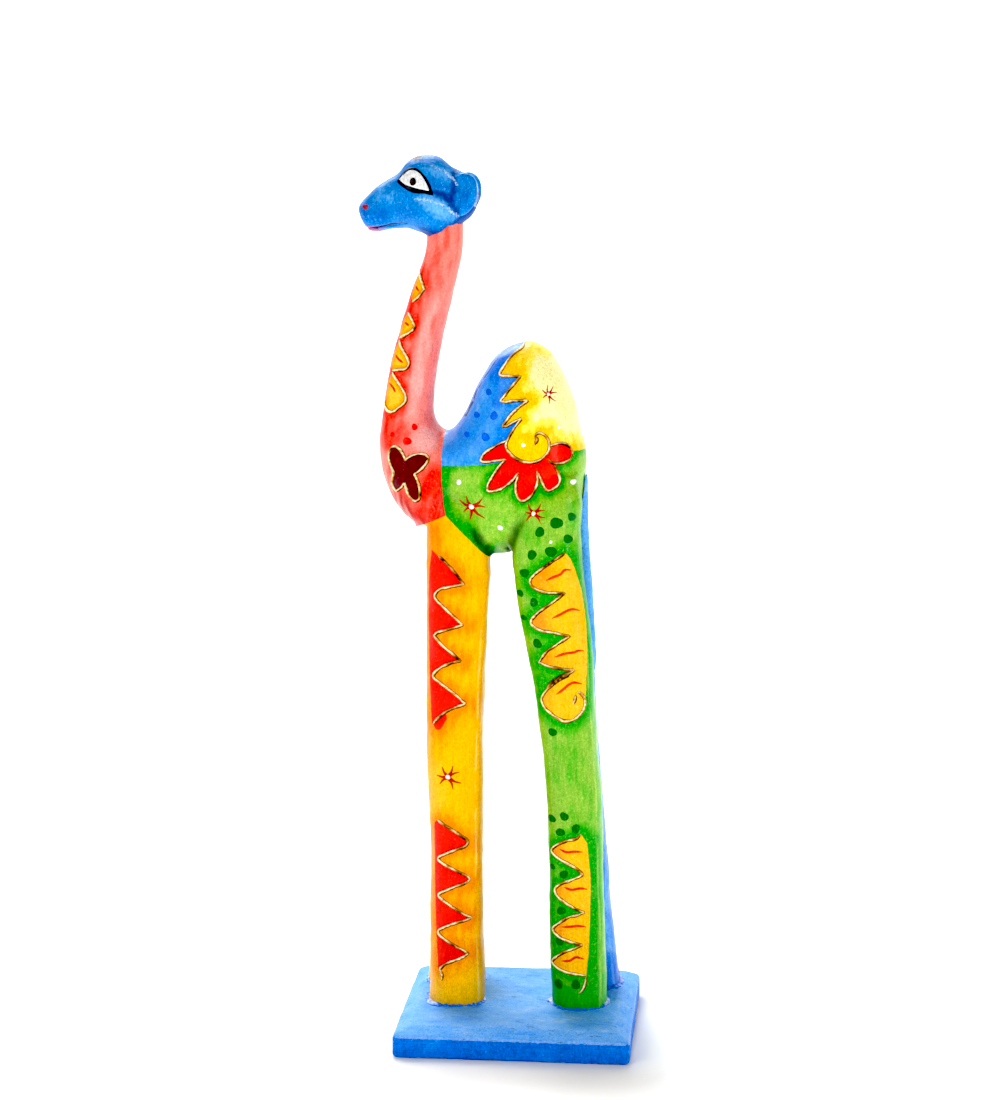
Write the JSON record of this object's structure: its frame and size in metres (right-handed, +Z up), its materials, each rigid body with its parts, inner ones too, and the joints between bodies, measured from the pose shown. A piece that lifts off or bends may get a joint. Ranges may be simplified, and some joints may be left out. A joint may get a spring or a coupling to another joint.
{
  "type": "painted wooden camel statue",
  "caption": "Tall slender carved wooden camel with a hump, painted in bright patches with raised gold outlines, standing on a bevelled rectangular plinth.",
  "frame": {"origin": "centre of the plinth's flat underside", "axes": "+Z up; the camel's nose points along -X and its tail along +X; -Y is the side that the picture shows"},
  "size_m": [0.1583, 0.125, 0.4987],
  "materials": {
    "plinth_blue": "brushed sky-blue acrylic paint on wood under gloss lacquer, chipped along the edges",
    "head_blue": "azure acrylic paint with paler dabs on wood under gloss lacquer",
    "neck_red": "coral to scarlet acrylic wash on wood under gloss lacquer",
    "torso_paint": "green, blue and yellow acrylic washes on wood under gloss lacquer",
    "leg_yellow": "golden yellow acrylic wash with orange shading on wood under gloss lacquer",
    "leg_green": "leaf-green acrylic wash with darker shading on wood under gloss lacquer",
    "leg_blue": "sky-blue acrylic wash on wood under gloss lacquer",
    "bare_wood": "plain turned beech, hidden in the joints",
    "relief_gold": "piped relief paste, cream and gold, rubbed with dark brown, glossy",
    "glue_blue": "squeezed-out glue, painted over pale blue, very glossy",
    "screw_steel": "zinc-plated countersunk wood screw"
  },
  "bodies": {
    "root": {"plinth": "plinth_blue", "torso": "torso_paint", "neck": "neck_red", "head": "head_blue", "ear_near": "head_blue", "ear_far": "head_blue", "front_leg_near": "leg_yellow", "front_leg_far": "leg_yellow", "hind_leg_near": "leg_green", "hind_leg_far": "leg_blue", "tail": "leg_blue", "head_dowel": "bare_wood", "neck_dowel_upper": "bare_wood", "neck_dowel_lower": "bare_wood", "front_leg_near_dowel": "bare_wood", "front_leg_far_dowel": "bare_wood", "hind_leg_near_dowel": "bare_wood", "hind_leg_far_dowel": "bare_wood", "tail_peg": "bare_wood", "front_leg_near_screw": "screw_steel", "front_leg_far_screw": "screw_steel", "hind_leg_near_screw": "screw_steel", "hind_leg_far_screw": "screw_steel", "front_leg_near_glue": "glue_blue", "front_leg_far_glue": "glue_blue", "hind_leg_near_glue": "glue_blue", "hind_leg_far_glue": "glue_blue", "relief_neck_zigzag_near": "relief_gold", "relief_neck_zigzag_far": "relief_gold", "relief_chest_butterfly_near": "relief_gold", "relief_chest_butterfly_far": "relief_gold", "relief_hump_zigzag_near": "relief_gold", "relief_hump_zigzag_far": "relief_gold", "relief_flower_near": "relief_gold", "relief_flower_far": "relief_gold", "relief_front_leg_upper_near": "relief_gold", "relief_front_leg_upper_far": "relief_gold", "relief_front_leg_lower_near": "relief_gold", "relief_front_leg_lower_far": "relief_gold", "relief_hind_leg_upper_near": "relief_gold", "relief_hind_leg_upper_far": "relief_gold", "relief_hind_leg_lower_near": "relief_gold", "relief_hind_leg_lower_far": "relief_gold"}
  },
  "joints": []
}
